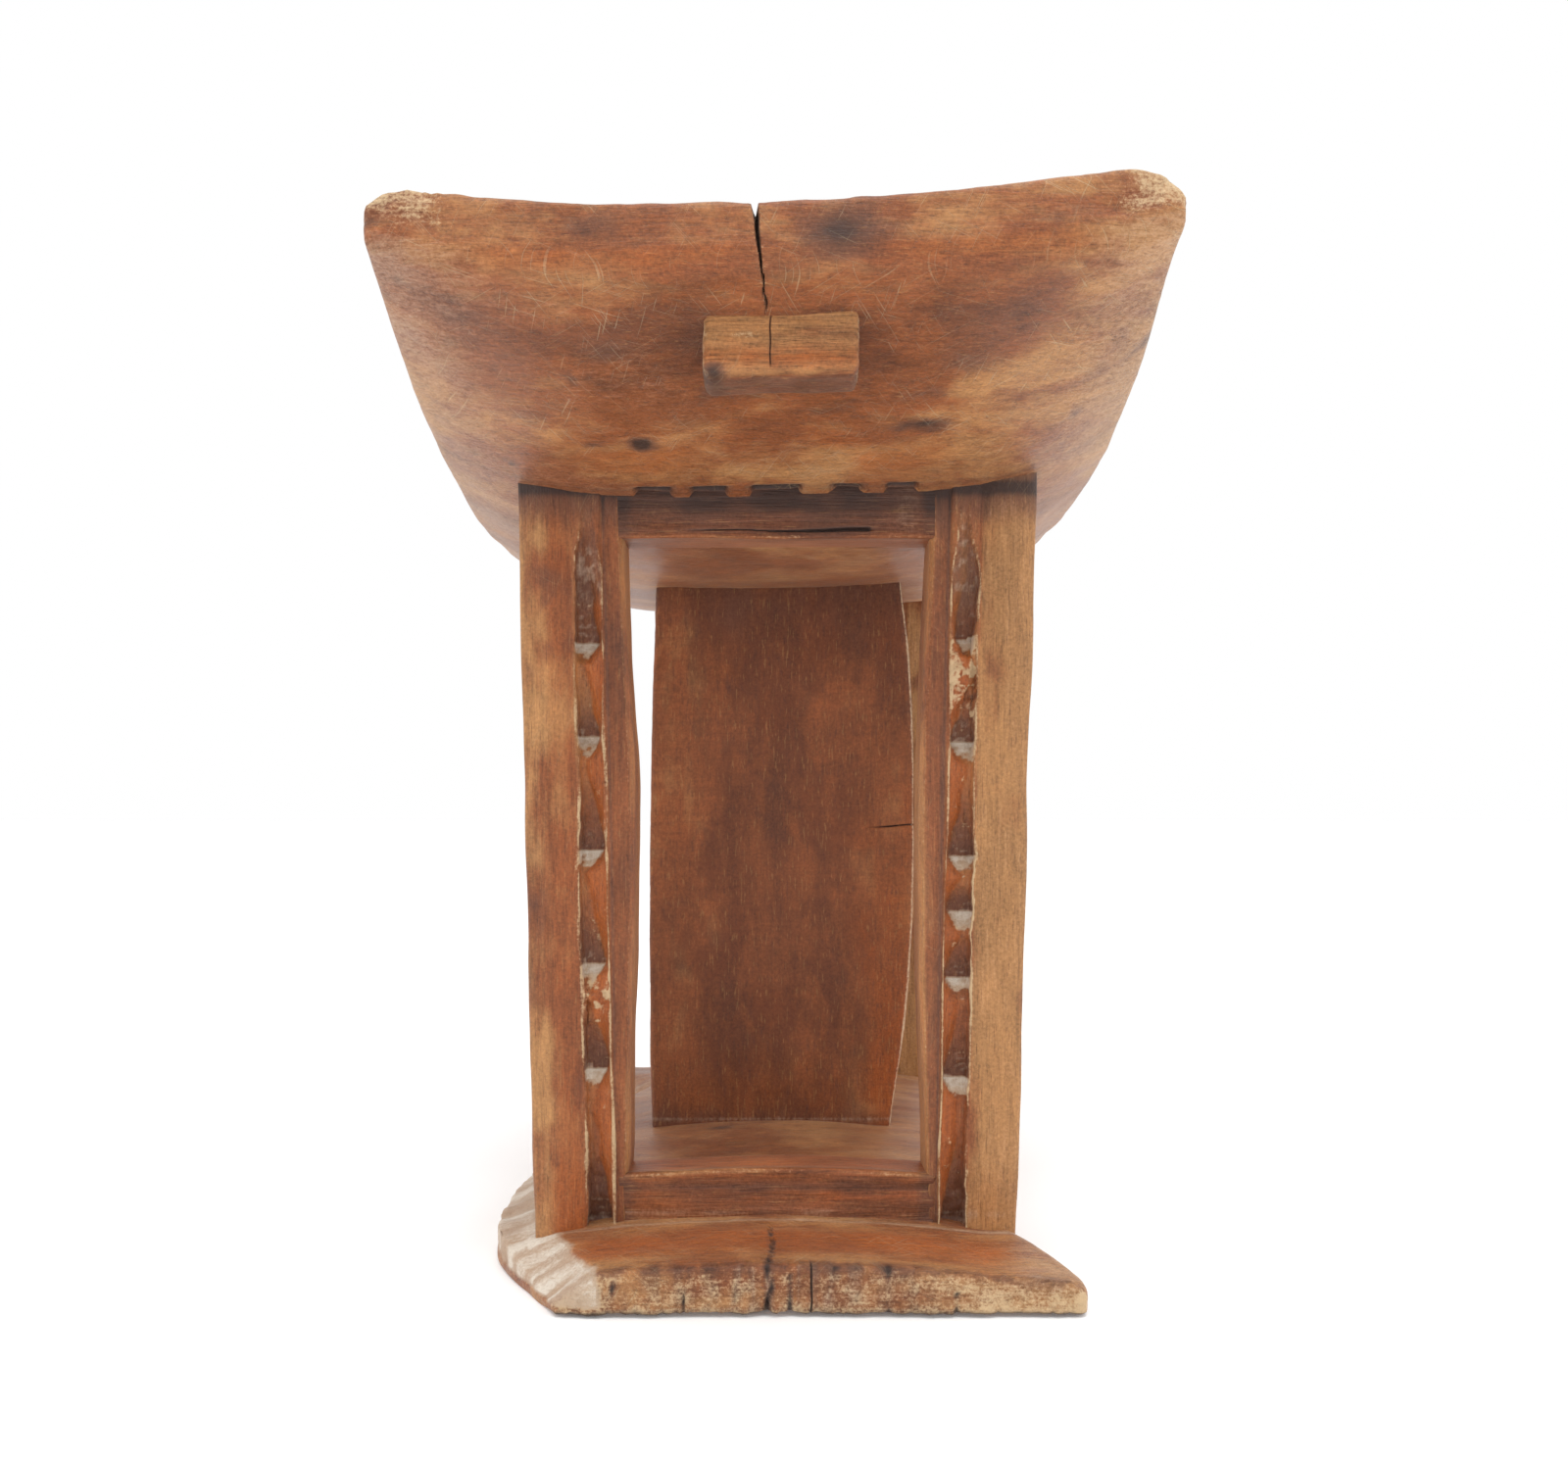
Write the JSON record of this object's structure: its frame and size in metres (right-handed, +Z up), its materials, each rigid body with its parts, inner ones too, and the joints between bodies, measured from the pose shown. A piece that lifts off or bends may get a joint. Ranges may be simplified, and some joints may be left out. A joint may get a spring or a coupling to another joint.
{
  "type": "headrest",
  "caption": "Carved headrest: dished neck seat with upturned ends, held by windowed end frames and a bowed centre panel on a domed base with a flat underside.",
  "frame": {"origin": "on the floor, under the middle of the base and of the whole headrest", "axes": "+Z up, +Y along the seat towards its rear end, +X across the seat to the right of a viewer at the front end"},
  "size_m": [0.0886, 0.19, 0.1253],
  "materials": {
    "seat_wood": "hand-carved reddish hardwood, worn satin with a waxy sheen, stained and scratched, scraped paler at the corners",
    "frame_wood": "hand-carved reddish hardwood, upright grain, edges rubbed pale, dark in the grooves",
    "panel_wood": "hand-carved reddish hardwood with a rippled cross figure, darker and more matt",
    "base_wood": "hand-carved reddish hardwood, worn satin on top, dry and checked on the cut ends"
  },
  "bodies": {
    "root": {"seat": "seat_wood", "front_lug": "seat_wood", "rear_lug": "seat_wood", "front_frame_left_post": "frame_wood", "front_frame_right_post": "frame_wood", "front_frame_top_rail": "frame_wood", "front_frame_bottom_rail": "frame_wood", "rear_frame_left_post": "frame_wood", "rear_frame_right_post": "frame_wood", "rear_frame_top_rail": "frame_wood", "rear_frame_bottom_rail": "frame_wood", "centre_panel": "panel_wood", "base": "base_wood"}
  },
  "joints": []
}
